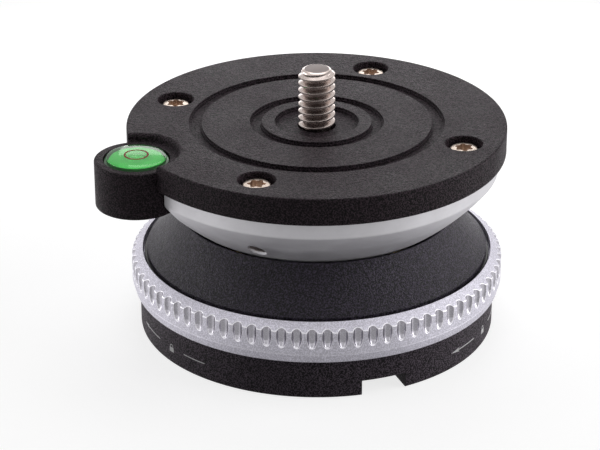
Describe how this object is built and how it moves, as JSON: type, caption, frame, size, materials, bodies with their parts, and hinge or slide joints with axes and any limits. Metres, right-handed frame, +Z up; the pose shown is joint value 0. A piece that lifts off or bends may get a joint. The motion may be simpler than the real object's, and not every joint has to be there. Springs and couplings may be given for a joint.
{
  "type": "leveling head",
  "caption": "Leveling head: a grooved camera plate with a bubble level on a bowl that tilts and turns in a flared body, held by a fluted lock ring.",
  "frame": {"origin": "the head's axis at the foot face, at the mouth of the tripod socket", "axes": "+Z up along the head's axis, square to the level plate's face; the bubble ear points along -X"},
  "size_m": [0.0733, 0.066, 0.0471],
  "materials": {
    "black_anodised": "fine bead-blasted black anodising on the base and the flared body",
    "black_anodised_plate": "coarser bead-blasted black anodising on the top plate",
    "bead_blasted_silver": "bead-blasted clear anodising",
    "satin_silver": "fine satin clear anodising",
    "stainless_steel": "rolled stainless steel",
    "black_steel": "blackened steel",
    "spring_steel": "oiled spring steel",
    "nickel_plated": "nickel plate",
    "brass": "turned brass",
    "black_acetal": "turned black acetal",
    "white_liner": "slick white polymer",
    "clear_acrylic": "polished clear acrylic",
    "white_acrylic": "moulded white acrylic",
    "green_fluid": "clear green vial fluid"
  },
  "bodies": {
    "base": {"base_housing": "black_anodised", "tripod_insert": "stainless_steel", "post_1": "brass", "post_2": "brass", "post_3": "brass", "body_screw_1": "black_steel", "body_screw_2": "black_steel", "body_screw_3": "black_steel", "lower_thrust_ring": "black_acetal", "upper_thrust_ring": "black_acetal", "stop_pin": "stainless_steel", "flared_body": "black_anodised"},
    "ring": {"lock_ring": "bead_blasted_silver"},
    "clamp": {"draw_plate": "brass", "center_bolt": "black_steel", "clamp_dome": "satin_silver", "disc_spring_1": "spring_steel", "disc_spring_2": "spring_steel", "lock_nut": "black_steel"},
    "seat": {"seat_ring": "black_acetal"},
    "liner": {"dome_liner": "white_liner"},
    "head": {"bowl": "satin_silver", "top_plate": "black_anodised_plate", "plate_screw_1": "nickel_plated", "plate_screw_2": "nickel_plated", "plate_screw_3": "nickel_plated", "plate_screw_4": "nickel_plated", "camera_stud": "stainless_steel", "vial_cup": "clear_acrylic", "vial_plug": "white_acrylic", "vial_fluid": "green_fluid"}
  },
  "joints": [
    {"name": "ring_turn", "type": "hinge", "parent": "base", "child": "ring", "pos_m": [0, 0, 0.0107], "axis": [0, 0, 1], "range_deg": [0, 90]},
    {"name": "clamp_lift", "type": "slide", "parent": "base", "child": "clamp", "axis": [0, 0, 1], "range_m": [0, 0.000375]},
    {"name": "seat_turn", "type": "hinge", "parent": "base", "child": "seat", "pos_m": [0, 0, 0.054], "axis": [0, 0, 1], "continuous": true},
    {"name": "head_tilt", "type": "hinge", "parent": "seat", "child": "liner", "pos_m": [0, 0, 0.054], "axis": [0, 1, 0], "range_deg": [-10, 10]},
    {"name": "head_turn", "type": "hinge", "parent": "liner", "child": "head", "pos_m": [0, 0, 0.054], "axis": [0, 0, 1], "continuous": true}
  ]
}
